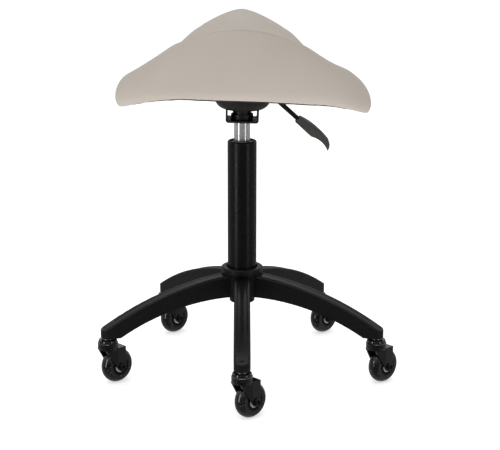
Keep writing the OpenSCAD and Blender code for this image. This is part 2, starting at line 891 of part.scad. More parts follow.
// Two upright ears carry the lever's pivot
module lever_ears() {
    ear_y = lever_d / 2 + ear_gap + ear_t / 2;
    for (s = [-1, 1]) translate([0, s * ear_y, 0]) across(ear_t) {
        translate([pivot_x, lever_z]) circle(d = ear_w);
        translate([pivot_x - ear_w / 2, floor_z - over]) square([ear_w, lever_z - floor_z + over]);
    }
}

module mounting_bowl() {
    color([0.09, 0.08, 0.075]) difference() {
        union() {
            leaned() pressed_bowl();
            intersection() {
                lever_ears();
                leaned() rotate_extrude() bowl_shape(press_t / 2);
            }
        }
        at_z(floor_z - over) cylinder(r = cylinder_d / 2 + socket_t + seat_fit, h = stirrup_h);
        translate([pivot_x, 0, lever_z]) across(flange_d) circle(r = pivot_r + run_fit);
        translate([lever_slot_x, -lever_slot_w / 2, lever_z + lever_d - lever_slot_h])
            cube([bowl_wall_r, lever_slot_w, lever_slot_h]);
    }
}

module pivot_pin() {
    half = lever_d / 2 + ear_gap + ear_t + run_fit;
    color([0.6, 0.6, 0.62]) translate([pivot_x, 0, lever_z]) rotate([90, 0, 0]) {
        at_z(-half) cylinder(r = pivot_r, h = 2 * half);
        both_ends() at_z(half) cylinder(r = pivot_head_r, h = pivot_head_t);
    }
}

// Height lever: straight over the release pin, bent down to the grip
lever_end = [lever_bend_x + lever_bend_r * sin(lever_slope) + lever_l * cos(lever_slope),
    lever_z - lever_bend_r * (1 - cos(lever_slope)) - lever_l * sin(lever_slope)];

module lever_rod() {
    bend_z = lever_z - lever_bend_r;
    color([0.05, 0.05, 0.05]) difference() {
        union() {
            translate([lever_press_x, 0, lever_z]) rotate([0, 90, 0])
                cylinder(d = lever_d, h = lever_bend_x - lever_press_x);
            translate([lever_bend_x, 0, bend_z]) rotate([90, 0, 0])
                rotate([0, 0, 90 - lever_slope - bend_lap])
                    rotate_extrude(angle = lever_slope + 2 * bend_lap)
                        translate([lever_bend_r, 0]) circle(d = lever_d + 2 * seat_fit);
            translate([lever_end[0], 0, lever_end[1]]) rotate([0, 90 + lever_slope, 0])
                translate([0, 0, -lever_l]) cylinder(d = lever_d, h = lever_l + grip_overlap);
        }
        translate([pivot_x, 0, lever_z]) across(4 * lever_d) circle(r = pivot_r + run_fit);
    }
}

// Side of the grip: crowned top, hollow underneath, rounded tip bent down
module grip_side() {
    half = grip_t / 2;
    crown_z = half + grip_crown;
    tip = [grip_l - grip_tip_r, -half - grip_tip_drop];
    difference() {
        intersection() {
            union() {
                translate([0, -half]) square([grip_l - grip_tip_r, crown_z + half]);
                translate(tip) circle(r = grip_tip_r);
            }
            translate([grip_l / 2, crown_z - grip_top_r]) circle(r = grip_top_r);
            translate([0, -half]) square([grip_l, crown_z + half]);
        }
        translate([grip_hollow_x, grip_hollow_h - half - grip_hollow_r]) circle(r = grip_hollow_r);
    }
}

module grip_plan() {
    side = grip_w / 2;
    mouth = side * grip_mouth_w_share;
    polygon([[0, -mouth], [grip_l / 3, -side], [grip_l - grip_end_r, -side],
        [grip_l, grip_end_r - side], [grip_l, side - grip_end_r], [grip_l - grip_end_r, side],
        [grip_l / 3, side], [0, mouth]]);
    for (s = [-1, 1]) translate([grip_l - grip_end_r, s * (side - grip_end_r)])
        circle(r = grip_end_r);
}

// Section of the grip across its length, with rounded top edges
module grip_section() {
    side = grip_w / 2;
    top = grip_t / 2 + grip_crown;
    translate([-side, -grip_t]) square([grip_w, top - grip_edge_r + grip_t]);
    translate([grip_edge_r - side, -grip_t]) square([grip_w - 2 * grip_edge_r, top + grip_t]);
    for (s = [-1, 1]) translate([s * (side - grip_edge_r), top - grip_edge_r])
        circle(r = grip_edge_r, $fn = 32);
}

module grip_ribs() {
    rib_z = grip_t / 2 + grip_crown + grip_rib_r - grip_rib_depth;
    for (k = [0:grip_rib_count - 1])
        translate([grip_l / 2, 0, grip_t / 2 + grip_crown - grip_top_r])
            rotate([0, (grip_rib_x + k * grip_rib_pitch - grip_l / 2) / grip_top_r * 180 / PI, 0])
                at_z(grip_top_r + grip_rib_r - grip_rib_depth)
                    across(grip_w - 2 * grip_edge_r) circle(r = grip_rib_r, $fn = 24);
}

module lever_grip() {
    color([0.09, 0.09, 0.09]) translate([lever_end[0], 0, lever_end[1]])
        rotate([0, lever_slope, 0]) difference() {
            intersection() {
                across(grip_w) grip_side();
                at_z(-grip_l) linear_extrude(2 * grip_l) grip_plan();
                rotate([90, 0, 90]) linear_extrude(grip_l) grip_section();
            }
            grip_ribs();
            rotate([0, 90, 0]) at_z(-over)
                cylinder(d = lever_d + 2 * seat_fit, h = grip_overlap + seat_fit + over);
        }
}

// Seat: plan outline, underside of the shell and crowned top, as functions
function half_width(y) =
    let (u = (y - wide_y) / front_l,
         n = min(1, max(0, (y - wide_y) / (horn_narrow_y - wide_y))),
         narrow = 1 - horn_narrow_share * n * n * (3 - 2 * n))
    seat_w / 2 * narrow * sqrt(max(0, 1 - pow(u, nose_power)));

function outline(a) =
    let (c = cos(a), s = sin(a))
    s < 0
    ? [seat_w / 2 * sign(c) * pow(abs(c), 2 / back_power),
       wide_y - back_l * pow(abs(s), 2 / back_power)]
    : let (y = wide_y + front_l * s) [sign(c) * half_width(y), y];

// Height of the arched shell at x, t above its underside
function shell_z(x, t) =
    let (out = max(0, abs(x) - shell_flat))
    plate_z - shell_r + sqrt(pow(shell_r + t, 2) - out * out);

// Height above the hem along the middle of the seat
function ridge(y) =
    let (rear = y < valley_y,
         u = (y - valley_y) / ((rear ? crest_y : horn_y) - valley_y),
         top = rear ? crest_h : horn_h)
    valley_h + (top - valley_h) * (1 - cos(180 * min(1.25, u))) / 2;

// Value at depth y that goes evenly from rear at the crest to front at the horn
function along(y, rear, front) =
    rear + (front - rear) * min(1, max(0, (y - crest_y) / (horn_y - crest_y)));

function top_z(p) =
    let (out = abs(p[0]) / along(p[1], crest_spread, horn_spread))
    plate_z + side_base_h + (ridge(p[1]) - side_base_h)
    * exp(-pow(out, along(p[1], crest_power, horn_power)) / 2);

// Moves an outline point in towards the seat's centre by d
function drawn_in(p, d) =
    let (c = [0, centre_y], l = norm(p - c)) c + (p - c) * (l - d) / l;

// The upholstery's crest stands over the column although its shell leans
function upright(p, z) = [p[0] - (z - plate_z) * tan(crest_skew), p[1], z];

// Points of the cushion. Each lies d inside the finished surface.
function flap_point(p, d) =
    let (q = drawn_in(p, hem_tuck * (1 - cos(hem_angle)) + flap_w))
    upright(q, shell_z(q[0], 0) - soft_gap - skin_t + d);

function side_point(p, a, d) =
    let (tuck = a < 0 ? hem_tuck : crest_inset,
         q = drawn_in(p, tuck * (1 - cos(a)) + d * cos(a)),
         belly = shell_z(p[0], 0) - soft_gap - skin_t + belly_h,
         lift = d * (sin(a) == sin(hem_angle) ? 1 : 0))
    upright(q, a < 0 ? belly + belly_h * sin(a) / sin(-hem_angle) + lift
        : belly + (top_z(q) - belly - d) * sin(a));

function top_point(p, k, d) =
    let (c = [0, centre_y], q = c + (drawn_in(p, crest_inset) - c) * (top_steps - k) / top_steps)
    upright(q, top_z(q) - d);

function middle_point(d) = let (c = [0, centre_y]) upright(c, top_z(c) - d);

// One column of points at azimuth a, from the flap under the shell up to angle end
function side_angle(j) = hem_angle + (90 - hem_angle) * j / side_steps;

function skin_column(a, d, end) =
    let (p = outline(a))
    concat([flap_point(p, d)],
        [for (j = [0:side_steps]) side_point(p, min(end, side_angle(j)), d)]);

function top_column(a, d) =
    [for (k = [1:top_steps - 1]) top_point(outline(a), k, d)];

function quad(a, b, c, d) = [[a, b, c], [a, c, d]];

// Faces of one cell of skin between columns a and b. The inner surface starts at m.
function cell_faces(a, b, m, low, high, left, right) = concat(
    quad(a, a + 1, b + 1, b), quad(m + a, m + b, m + b + 1, m + a + 1),
    low ? quad(a, b, m + b, m + a) : [],
    high ? quad(b + 1, a + 1, m + a + 1, m + b + 1) : [],
    left ? quad(a + 1, a, m + a, m + a + 1) : [],
    right ? quad(b, b + 1, m + b + 1, m + b) : []);

crest_row = side_steps + 1;

// Upholstery of the rear side, from the hem up to the seam on the crest
module rear_panel() {
    cols = panel_to - panel_from;
    n = crest_row + 1;
    m = (cols + 1) * n;
    step = 360 / around - 2 * panel_trim_angle / cols;
    angles = [for (i = [0:cols]) panel_from * 360 / around + panel_trim_angle + i * step];
    outer = [for (a = angles) each skin_column(a, 0, seam_angle)];
    inner = [for (a = angles) each skin_column(a, skin_t, seam_angle)];
    faces = [for (i = [0:cols - 1], j = [0:n - 2])
        each cell_faces(i * n + j, (i + 1) * n + j, m, j == 0, j == n - 2, i == 0, i == cols - 1)];
    color([0.76, 0.73, 0.68]) leaned() polyhedron(points = concat(outer, inner), faces = faces);
}

function in_panel(i) = i >= panel_from && i < panel_to;

// Upholstery of the top, the wings and the horn
module seat_cover() {
    angles = [for (i = [0:around - 1]) i * 360 / around];
    n = crest_row + top_steps;
    m = around * n;
    outer = [for (a = angles) each concat(skin_column(a, 0, 90), top_column(a, 0))];
    inner = [for (a = angles) each concat(skin_column(a, skin_t, 90), top_column(a, skin_t))];
    middles = [middle_point(0), middle_point(skin_t)];
    cells = [for (i = [0:around - 1], j = [0:n - 2])
        if (j >= crest_row || !in_panel(i))
            each cell_faces(i * n + j, (i + 1) % around * n + j, m,
                j == (in_panel(i) ? crest_row : 0), false,
                j < crest_row && i == panel_to, j < crest_row && i == panel_from - 1)];
    fans = [for (i = [0:around - 1]) let (a = i * n + n - 1, b = (i + 1) % around * n + n - 1)
        each [[a, 2 * m, b], [m + a, m + b, 2 * m + 1]]];
    color([0.77, 0.74, 0.69]) leaned()
        polyhedron(points = concat(outer, inner, middles), faces = concat(cells, fans));
}

// Foam between the shell's top and the upholstery
function foam_column(a) =
    let (p = outline(a), c = [0, centre_y], edge = drawn_in(p, shell_inset))
    concat(
        [for (k = [1:foam_steps]) let (q = c + (edge - c) * k / foam_steps)
            upright(q, shell_z(q[0], shell_t) + foam_gap)],
        [for (j = [foam_row:side_steps]) side_point(p, side_angle(j), foam_inset)],
        top_column(a, foam_inset));

module seat_foam() {
    columns = [for (i = [0:around - 1]) foam_column(i * 360 / around)];
    n = len(columns[0]);
    m = around * n;
    ends = [upright([0, centre_y], plate_z + shell_t + foam_gap), middle_point(foam_inset)];
    faces = [for (i = [0:around - 1]) let (a = i * n, b = (i + 1) % around * n)
        each concat([[m, a, b], [a + n - 1, m + 1, b + n - 1]],
            [for (j = [0:n - 2]) each quad(a + j, a + j + 1, b + j + 1, b + j)])];
    color([0.85, 0.8, 0.6]) leaned()
        polyhedron(points = concat([for (c = columns) each c], ends), faces = faces);
}

// Slab that follows the shell's arch, from u to u + t above its underside
module arched_slab(u, t, inset) {
    low_z = shell_z(shell_w + shell_inset, u) - over;
    intersection() {
        translate([0, centre_y, 0]) across(2 * (seat_front + seat_back)) difference() {
            arch(u + t, low_z);
            arch(u, low_z - over);
        }
        at_z(low_z) linear_extrude(plate_z + u + t - low_z + over)
            polygon([for (i = [0:2 * around - 1]) drawn_in(outline(i * 180 / around), inset)]);
    }
}

module arch(u, low_z) {
    translate([-shell_flat, low_z]) square([2 * shell_flat, plate_z + u - low_z]);
    for (s = [-1, 1]) intersection() {
        translate([s * shell_flat, plate_z - shell_r]) circle(r = shell_r + u, $fn = 200);
        translate([-seat_w, low_z]) square([2 * seat_w, plate_z + u - low_z]);
    }
}

module seat_shell() {
    color([0.12, 0.12, 0.12]) leaned() difference() {
        arched_slab(0, shell_t, shell_inset);
        at_flange_bolts() {
            at_z(-over) cylinder(r = tee_barrel_r + seat_fit, h = shell_t + 2 * over);
            at_z(shell_t - tee_flange_t) cylinder(r = tee_flange_r + seat_fit, h = over);
        }
    }
}

module tee_nuts() {
    color([0.7, 0.7, 0.68]) leaned() at_flange_bolts() difference() {
        union() {
            at_z(shell_t - tee_flange_t) cylinder(r = tee_flange_r, h = tee_flange_t);
            at_z(shell_t - tee_barrel_l) cylinder(r = tee_barrel_r, h = tee_barrel_l);
        }
        at_z(shell_t - tee_barrel_l - over) cylinder(r = bolt_r + seat_fit, h = shell_t + over);
    }
}

// Hexagon bolts with spring washers, driven up through the flange
module seat_bolts() {
    color([0.3, 0.3, 0.31]) leaned() at_flange_bolts() at_z(-press_t - seat_fit) {
        at_z(-spring_washer_t) cylinder(r = spring_washer_r, h = spring_washer_t);
        at_z(-spring_washer_t - bolt_head_t) cylinder(d = bolt_head_w, h = bolt_head_t, $fn = 6);
        cylinder(r = bolt_r, h = press_t + shell_t - tee_flange_t);
    }
}

module dust_cloth() {
    under = -2 * soft_gap - skin_t - cloth_lay - cloth_t;
    color([0.05, 0.05, 0.05]) leaned() difference() {
        arched_slab(under, cloth_t, cloth_inset);
        at_z(plate_z + under - over) cylinder(r = flange_d / 2 + cloth_gap, h = cloth_t + 2 * over);
    }
}

star_base();
gas_tube();
guide_bushing();
tube_foot();
bearing_washers();
bearing_balls();
caster_stems();
stem_rings();
head_cups();
head_balls();
piston_rod();
rod_circlip();
bump_stop();
gas_cylinder();
cylinder_seal();
cone_socket();
socket_stirrup();
mounting_bowl();
pivot_pin();
seat_shell();
tee_nuts();
seat_bolts();
seat_foam();
seat_cover();
rear_panel();
dust_cloth();
release_pin();
lever_rod();
lever_grip();
for (i = [1:arm_count]) {
    caster_fork(i);
    axle_bolt(i);
    axle_sleeve(i);
    wheel_core(i);
    wheel_bearings(i);
    wheel_tyre(i);
}
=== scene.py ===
"""Looks of the saddle stool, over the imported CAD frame.

Metres, +Z up, seen from behind. The sizes of the seat and its sewing are in millimetres and
degrees, as in the part's source.
"""

import json
import math
import random

import bmesh
import bpy
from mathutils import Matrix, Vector


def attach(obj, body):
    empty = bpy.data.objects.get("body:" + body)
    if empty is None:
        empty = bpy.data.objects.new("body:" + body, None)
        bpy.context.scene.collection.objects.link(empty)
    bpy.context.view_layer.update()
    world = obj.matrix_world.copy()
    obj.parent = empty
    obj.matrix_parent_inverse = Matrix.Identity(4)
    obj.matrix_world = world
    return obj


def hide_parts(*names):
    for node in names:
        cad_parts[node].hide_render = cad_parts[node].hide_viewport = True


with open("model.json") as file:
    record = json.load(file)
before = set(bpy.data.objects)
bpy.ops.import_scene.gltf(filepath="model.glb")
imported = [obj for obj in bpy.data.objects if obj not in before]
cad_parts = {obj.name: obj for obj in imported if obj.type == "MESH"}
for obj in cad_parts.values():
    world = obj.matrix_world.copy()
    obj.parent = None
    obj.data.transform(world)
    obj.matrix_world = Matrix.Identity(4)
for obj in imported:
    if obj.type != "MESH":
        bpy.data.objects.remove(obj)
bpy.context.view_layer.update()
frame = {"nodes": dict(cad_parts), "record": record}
MM = 0.001
TINY = 1e-9

# Camera, fitted to the photograph
CAMERA_BACK = 2.5
CAMERA_Z = 0.904
CAMERA_PITCH = 14.38
LENS = 107.2
SENSOR_W = 36
CLIP_END = 200
PHOTO_W = 500
AXIS_PX = 242.07

# Studio. A row of SKY: axis, where it is dim and bright along it, and both strengths
WHITE = (1, 1, 1, 1)
SKY = (("Y", -0.9, 0.6, 0.05, 0.28), ("Z", 0.1, 0.9, 0.0, 0.45))
FLOOR_HALF = 30
FLOOR_CELLS = 4
FLOOR_GLOW = 0.6
WALL_SIDES = 64
WALL_R = 28
WALL_Z = (-0.5, 30)
# A row of LIGHTS: name, place, aim, width and height, watts
LIGHTS = (
    ("key", (-0.6, -1.9, 3.5), (0, 0, 0.4), (1.6, 1.4), 15),
    ("left", (-1.25, -1.15, 0.45), (0, 0, 0.4), (0.34, 1.3), 4.2),
    ("right", (1.25, -1.15, 0.45), (0, 0, 0.4), (0.26, 1.3), 2.0),
    ("top", (0, 0.2, 3.4), (0, 0, 0.5), (1.8, 1.8), 18),
    ("rear", (0, 2.4, 2.4), (0, 0, 0.3), (2.2, 1.4), 6),
)

# Seat, repeated from the part's source
SEAT_W = 418
SEAT_BACK = 187
SEAT_FRONT = 205
CREST_H = 110
HORN_H = 109
VALLEY_H = 66
WING_DROP = 23
LEAN = 1.5
CREST_SKEW = 2.4
LEAN_Z = 447.0
PLATE_Z = 511.5
SHELL_FLAT = 80
SHELL_INSET = 11
SOFT_GAP = 0.5
SKIN_T = 1.4
WIDE_Y = -95
BACK_POWER = 2.3
NOSE_POWER = 6
HORN_NARROW = 0.45
HORN_NARROW_Y = 150
CREST_INSET = 26
HEM_TUCK = 16
HEM_ANGLE = -60
BELLY_H = 17
FLAP_W = 20
SIDE_BASE_H = -8
CREST_SPREAD = 137
CREST_POWER = 2.2
HORN_SPREAD = 100
HORN_POWER = 1.6
VALLEY_Y = -8
HORN_Y = 142
CENTRE_Y = 10
CREST_Y = -SEAT_BACK + CREST_INSET
RIDGE_END_SHARE = 1.25

# Unevenness of the photographed cushion: place across, half width and rise of each swell, and
# between which heights it comes in
CROWN_UNEVEN = ((-108, 19, 3), (100, 20, 2), (172, 19, 5), (-172, 25, -1.5))
CROWN_BAND = (0.45, 0.85)
HEM_UNEVEN = ((95, 45, -3),)
HEM_BAND = (0, 0.4)

# Columns and rows of the cushion's mesh. The side's rows are shares of the way from the hem to
# the seam, and the top's of the way from there to the middle
AROUND = 192
FLAP_ROWS = (-1, -0.5)
SIDE_ROWS = (0, 0.08, 0.17, 0.26, 0.35, 0.44, 0.53, 0.62, 0.71, 0.79, 0.86, 0.92, 0.965)
TOP_ROWS = (0.03, 0.07, 0.12, 0.18, 0.25, 0.33, 0.41, 0.5, 0.59, 0.68, 0.77, 0.86, 0.94)
CAP_DROP = 2

# How the cushion swells
SWELL_CAP = 4.0
SWELL_FRAMES = 20
SWELL_CLOTH = {
    "quality": 6,
    "mass": 0.4,
    "tension_stiffness": 40,
    "compression_stiffness": 40,
    "shear_stiffness": 20,
    "bending_stiffness": 4,
    "use_pressure": True,
    "uniform_pressure_force": 4,
    "vertex_group_mass": "pins",
    "pin_stiffness": 2,
}

# Sewn seam: degrees from the rear and height, then its groove and stitches
SEAM_ROUTE = ((0, 0.945), (18, 0.945), (33, 1.04), (50, 1.2), (75, 1.25), (95, 1.08), (120, 0.86),
              (180, 0.84))
SEAM_HALF_U = 0.011
SEAM_STEPS = 1600
GROOVE = 2.0
STITCH = 4.2
STITCH_GAP = 1.3
THREAD_R = 0.42
THREAD_SIDES = 6
# Place along a stitch and share of its radius there
THREAD_RINGS = ((0, 0.45), (0.25, 1), (0.75, 1), (1, 0.45))

# A thin dark band just below the hem, with the waves that make it uneven
HEM_DARK_R = 0.9
HEM_DARK_WIDE = 1.6
HEM_DARK_U = -0.06
HEM_DARK_DROP = 0.3
HEM_DARK_STEPS = 480
HEM_DARK_SIDES = 6
HEM_DARK_TURN = 0.01
HEM_DARK_SEED = 7
HEM_DARK_WAVES = (7, 17, 31, 53)
HEM_DARK_CALM = 8

# Cloth under the seat and its staples
CLOTH_INSET = 26
CLOTH_DEPTH = 2.7
CLOTH_HOLE_R = 79.5
CLOTH_T = 0.5
CLOTH_RINGS = 14
CLOTH_SAG = 1.6
CLOTH_SAG_REACH = 1.02
PUCKER = 0.7
PUCKER_FADE = 9
STAPLES = 44
COLUMNS_A_STAPLE = 4
STAPLE_L = 9
STAPLE_R = 0.5
STAPLE_PLACE = 0.97
STAPLE_PROUD = 0.6
STAPLE_TURN = 0.02
STAPLE_BEND = 0.98
STAPLE_LEG = 1.2

# Spans of a noise that a material stretches to its full range
EVEN = (0.3, 0.7)
DRIFTING = (0.35, 0.65)
MOTTLED = (0.35, 0.7)
STAINED = (0.4, 0.75)

BLACK = (14, 14, 15)
SOOT = (30, 30, 31)

# Paints, mouldings and foam, and the metals, by material slot
ENAMELS = {
    "base_plastic": {"dark": (18, 18, 19), "light": (27, 27, 28), "rough": 0.34, "grain": 0.8,
                     "relief": 0.03, "edge": 2.2, "gloss": 0.26},
    "tube_paint": {"dark": (12, 12, 13), "light": (16, 16, 17), "rough": 0.3, "grain": 1.1,
                   "relief": 0.015, "gloss": 0.35},
    "guide_plastic": {"dark": (120, 121, 123), "light": (140, 141, 143), "rough": 0.4},
    "bump_rubber": {"dark": BLACK, "light": SOOT, "rough": 0.8, "grain": 0.5, "relief": 0.05},
    "press_paint": {"dark": (32, 29, 26), "light": (40, 36, 33), "rough": 0.4, "grain": 1.0,
                    "relief": 0.03},
    "shell_plastic": {"dark": BLACK, "light": SOOT, "rough": 0.55},
    "foam": {"dark": (222, 208, 160), "light": (235, 224, 180), "rough": 0.9, "grain": 1.2,
             "relief": 0.3},
    "lever_paint": {"dark": (20, 20, 20), "light": (30, 29, 28), "rough": 0.3},
    "grip_plastic": {"dark": (66, 64, 61), "light": (80, 78, 75), "rough": 0.42, "grain": 0.7,
                     "relief": 0.03},
    "core_plastic": {"dark": (6, 6, 6), "light": (12, 12, 12), "rough": 0.4, "gloss": 0.2},
}
METALS = {
    "bearing_steel": {"bright": (236, 237, 239), "dark": (205, 206, 208), "rough": 0.3,
                      "metal": 0.55},
    "zinc_steel": {"bright": (190, 191, 194), "dark": (130, 130, 128), "rough": 0.32},
    "spring_steel": {"bright": (90, 90, 92), "dark": (60, 60, 60), "rough": 0.4},
    "chrome": {"bright": (228, 229, 231), "dark": (206, 207, 210), "rough": 0.14,
               "lay": (1, 1, 0.05), "metal": 0.66, "relief": 0.001},
    "axle_steel": {"bright": (70, 70, 72), "dark": (40, 40, 40), "rough": 0.35},
}


# Materials


def lin(r, g, b):
    """Linear colour from display values of 0 to 255, by the sRGB curve."""

    def one(v):
        v /= 255
        return v / 12.92 if v <= 0.04045 else ((v + 0.055) / 1.055) ** 2.4

    return (one(r), one(g), one(b), 1)


class Shader:
    """A principled material with layered colour, roughness and bump. Sizes are millimetres."""

    def __init__(self, name, rough, metal=0.0, **sockets):
        self.material = bpy.data.materials.new(name)
        self.material.use_nodes = True
        self.tree = self.material.node_tree
        self.bsdf = self.tree.nodes["Principled BSDF"]
        self.bsdf.inputs["Roughness"].default_value = rough
        self.bsdf.inputs["Metallic"].default_value = metal
        for key, value in sockets.items():
            self.bsdf.inputs[key.replace("_", " ")].default_value = value
        self.place = self.node("ShaderNodeTexCoord").outputs["Object"]
        self.normal = None

    def node(self, kind, **props):
        n = self.tree.nodes.new(kind)
        for key, value in props.items():
            setattr(n, key, value)
        return n

    def link(self, a, b):
        self.tree.links.new(a, b)

    def stretched(self, x, y, z):
        n = self.node("ShaderNodeMapping")
        n.inputs["Scale"].default_value = (x, y, z)
        self.link(self.place, n.inputs["Vector"])
        return n.outputs["Vector"]

    def noise(self, size, detail=3.0, vector=None):
        """Noise whose features are about size across."""
        n = self.node("ShaderNodeTexNoise")
        n.inputs["Scale"].default_value = 1 / (size * MM)
        n.inputs["Detail"].default_value = detail
        self.link(vector or self.place, n.inputs["Vector"])
        return n.outputs["Fac"]

    def cells(self, size, feature="F1"):
        n = self.node("ShaderNodeTexVoronoi", feature=feature)
        n.inputs["Scale"].default_value = 1 / (size * MM)
        self.link(self.place, n.inputs["Vector"])
        return n.outputs["Distance"]

    def ranged(self, fac, span, low=0, high=1):
        """Stretches a span of fac to low and high."""
        n = self.node("ShaderNodeMapRange")
        for key, value in zip(("From Min", "From Max", "To Min", "To Max"), (*span, low, high)):
            n.inputs[key].default_value = value
        self.link(fac, n.inputs["Value"])
        return n.outputs["Result"]

    def mix(self, fac, a, b):
        """Mixes two colours. Either may be the output of another node."""
        n = self.node("ShaderNodeMix", data_type="RGBA")
        self.link(fac, n.inputs["Factor"])
        for value, socket in ((a, n.inputs[6]), (b, n.inputs[7])):
            if isinstance(value, tuple):
                socket.default_value = value
            else:
                self.link(value, socket)
        return n.outputs[2]

    def colour(self, socket):
        self.link(socket, self.bsdf.inputs["Base Color"])

    def roughness(self, fac, low, high):
        self.link(self.ranged(fac, EVEN, low, high), self.bsdf.inputs["Roughness"])

    def facing(self, normal):
        self.normal = normal
        self.link(normal, self.bsdf.inputs["Normal"])

    def edges(self, radius):
        """Softens the look of hard edges. Comes before any relief."""
        n = self.node("ShaderNodeBevel", samples=6)
        n.inputs["Radius"].default_value = radius * MM
        self.facing(n.outputs["Normal"])

    def bump(self, height, depth, strength):
        """Adds relief over what is there."""
        n = self.node("ShaderNodeBump")
        n.inputs["Strength"].default_value = strength
        n.inputs["Distance"].default_value = depth * MM
        self.link(height, n.inputs["Height"])
        if self.normal is not None:
            self.link(self.normal, n.inputs["Normal"])
        self.facing(n.outputs["Normal"])


def upholstery():
    """Greige coated fabric: pebbled grain, a little colour drift, uneven sheen."""
    s = Shader("upholstery", 0.5, Sheen_Weight=0.12, Sheen_Roughness=0.5)
    drift = s.ranged(s.noise(160, detail=2), DRIFTING)
    tone = s.mix(drift, lin(190, 181, 170), lin(197, 188, 178))
    fine = s.ranged(s.noise(1.6, detail=4), EVEN, high=0.35)
    s.colour(s.mix(fine, tone, lin(184, 173, 161)))
    s.roughness(s.noise(45), 0.46, 0.6)
    s.bump(s.cells(1.5, "DISTANCE_TO_EDGE"), depth=0.06, strength=0.5)
    s.bump(s.noise(0.6), depth=0.03, strength=0.5)
    s.bump(s.noise(70, detail=2), depth=0.5, strength=0.35)
    return s.material


def enamel(name, dark, light, rough, grain=0.9, relief=0.02, edge=0.5, gloss=0.5):
    """Sprayed or moulded: faint orange peel, dust-fine mottling, uneven gloss."""
    s = Shader(name, rough, Specular_IOR_Level=gloss)
    s.edges(edge)
    mottling = s.ranged(s.noise(grain * 4, detail=5), MOTTLED)
    s.colour(s.mix(mottling, lin(*dark), lin(*light)))
    s.roughness(s.noise(22, detail=4), rough * 0.85, rough * 1.2)
    s.bump(s.noise(grain), depth=relief, strength=0.6)
    return s.material


def bare_metal(name, bright, dark, rough, lay=(1, 1, 1), metal=1.0, relief=0.01):
    """Ground or plated steel: fine lines along the lay, faint stains."""
    s = Shader(name, rough, metal)
    lines = s.noise(1.4, 4, s.stretched(*lay))
    stains = s.ranged(s.noise(9, detail=4), STAINED, high=0.7)
    s.colour(s.mix(stains, lin(*bright), lin(*dark)))
    s.roughness(lines, rough * 0.7, rough * 1.35)
    s.bump(lines, depth=relief, strength=0.4)
    return s.material


def caster_paint():
    """Gloss black over stamped steel: wet coat, soft ripple, faint dust."""
    s = Shader("caster_paint", 0.15, Coat_Weight=1.0, Coat_Roughness=0.03)
    s.edges(0.9)
    s.colour(s.mix(s.ranged(s.noise(5, detail=5), STAINED), lin(4, 4, 4), lin(9, 9, 10)))
    s.roughness(s.noise(8), 0.12, 0.195)
    s.bump(s.noise(2.4), depth=0.03, strength=0.6)
    return s.material


def tread():
    """Smoky polyurethane under a gloss coat, with small pale specks."""
    s = Shader("tread", 0.12, Coat_Weight=1.0, Coat_Roughness=0.04)
    speck = s.ranged(s.cells(2.6), (0.05, 0.2), 1, 0)
    few = s.ranged(s.noise(5, detail=2), (0.52, 0.56))
    both = s.node("ShaderNodeMath", operation="MULTIPLY")
    s.link(speck, both.inputs[0])
    s.link(few, both.inputs[1])
    body = s.mix(s.ranged(s.noise(14), EVEN), lin(9, 9, 10), lin(27, 27, 28))
    s.colour(s.mix(both.outputs[0], body, lin(200, 200, 202)))
    s.roughness(s.noise(6, detail=4), 0.1, 0.2)
    s.bump(s.noise(3), depth=0.02, strength=0.5)
    return s.material


def dust_fabric():
    """Non-woven cloth: felted fibres over small embossed points."""
    s = Shader("dust_fabric", 0.9, Sheen_Weight=0.3)
    fibre = s.noise(0.5, 6, s.stretched(1, 0.35, 1))
    s.colour(s.mix(s.ranged(fibre, EVEN), lin(16, 16, 16), lin(36, 36, 36)))
    s.bump(s.cells(1.8), depth=0.1, strength=0.6)
    s.bump(fibre, depth=0.08, strength=0.6)
    return s.material


def thread():
    """Spun sewing thread, darker than the fabric."""
    s = Shader("thread", 0.7, Sheen_Weight=0.2)
    s.colour(s.mix(s.ranged(s.noise(0.5, detail=4), EVEN), lin(70, 61, 54), lin(100, 88, 78)))
    s.bump(s.noise(0.25, detail=2), depth=0.05, strength=0.8)
    return s.material


def finishes():
    """One finish for each material slot in the record."""
    looks = {name: enamel(name, **recipe) for name, recipe in ENAMELS.items()}
    looks.update({name: bare_metal(name, **recipe) for name, recipe in METALS.items()})
    looks["caster_paint"] = caster_paint()
    looks["upholstery"] = upholstery()
    looks["dust_fabric"] = dust_fabric()
    looks["wheel_tread"] = tread()
    return looks


def dress(looks):
    """Gives every CAD node the finish of its slot."""
    slots = {s["node"]: s["material_slot"] for s in frame["record"]["subparts"]}
    for name, obj in frame["nodes"].items():
        for m in obj.material_slots:
            m.material = looks[slots[name]]


# Seat surface, as in the part's source


def eased(v, low, high):
    """Goes smoothly from 0 at low to 1 at high."""
    t = min(1, max(0, (v - low) / (high - low)))
    return t * t * (3 - 2 * t)


def along(y, rear, front):
    """Goes evenly from rear at the crest to front at the horn."""
    return rear + (front - rear) * min(1, max(0, (y - CREST_Y) / (HORN_Y - CREST_Y)))


def outline(a):
    """Point of the seat's outline at azimuth a."""
    c, s = math.cos(a), math.sin(a)
    if s < 0:
        x = SEAT_W / 2 * math.copysign(abs(c) ** (2 / BACK_POWER), c)
        return Vector((x, WIDE_Y - (SEAT_BACK + WIDE_Y) * abs(s) ** (2 / BACK_POWER)))
    y = WIDE_Y + (SEAT_FRONT - WIDE_Y) * s
    narrow = 1 - HORN_NARROW * eased(y, WIDE_Y, HORN_NARROW_Y)
    half = SEAT_W / 2 * narrow * math.sqrt(max(0, 1 - s**NOSE_POWER))
    return Vector((math.copysign(half, c), y))


def shell_z(x):
    """Height of the shell's underside, flat in the middle and arched down at the wings."""
    run = SEAT_W / 2 - SHELL_INSET - SHELL_FLAT
    r = (run**2 + WING_DROP**2) / (2 * WING_DROP)
    out = max(0, abs(x) - SHELL_FLAT)
    return PLATE_Z - r + math.sqrt(r**2 - out * out)


